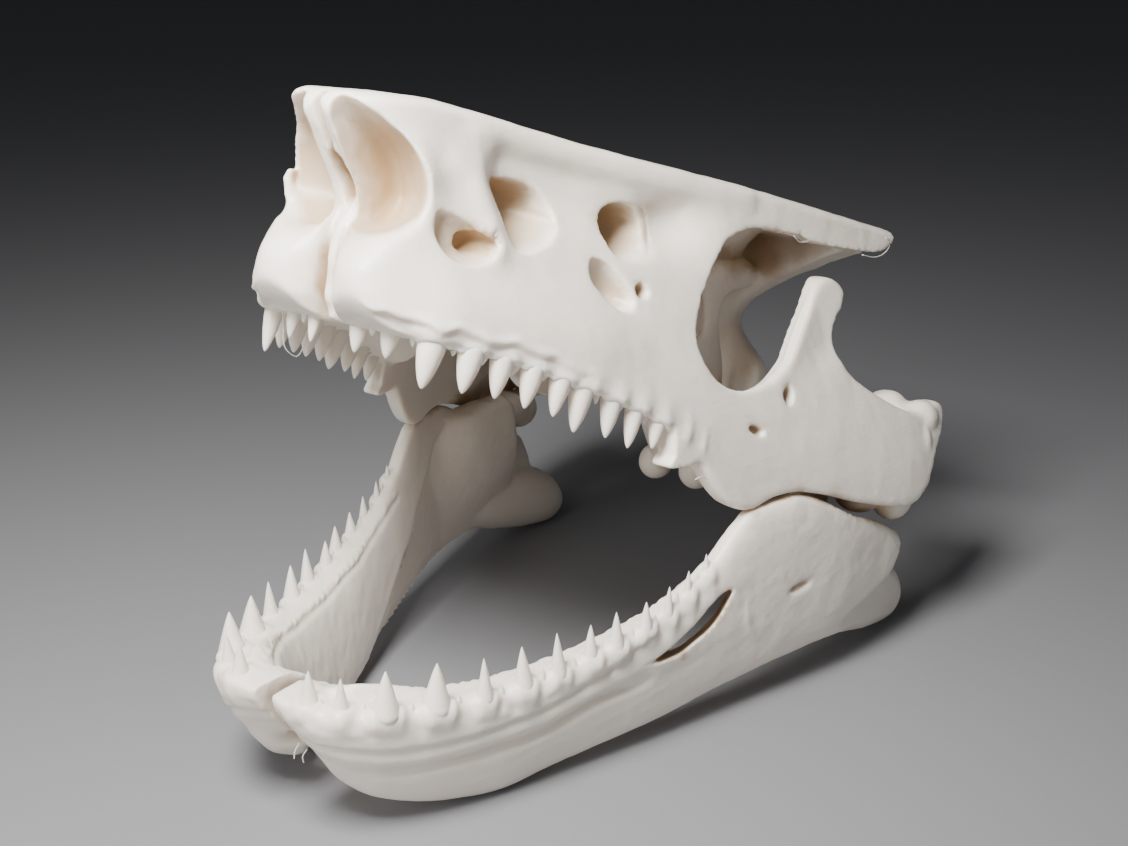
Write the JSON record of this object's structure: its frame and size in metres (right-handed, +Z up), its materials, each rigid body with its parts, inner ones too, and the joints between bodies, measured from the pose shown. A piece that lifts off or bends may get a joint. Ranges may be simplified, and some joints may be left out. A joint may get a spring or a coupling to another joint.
{
  "type": "reptile skull replica",
  "caption": "Life-like replica of a fossil predatory reptile's skull with its mouth open wide: a toothed upper skull resting on separate lower jaw halves that lie on the floor.",
  "frame": {"origin": "on the floor, under the centre of the model's bounding box", "axes": "-Y towards the tip of the snout, +Y towards the back of the skull, +X the skull's left side, +Z up"},
  "size_m": [0.1286, 0.1657, 0.1374],
  "materials": {
    "ivory_resin": "satin, smooth, slightly translucent"
  },
  "bodies": {
    "root": {"snout": "ivory_resin", "skull_roof": "ivory_resin", "braincase": "ivory_resin", "cheek_left": "ivory_resin", "cheek_right": "ivory_resin", "mandible_left": "ivory_resin", "mandible_right": "ivory_resin"}
  },
  "joints": []
}
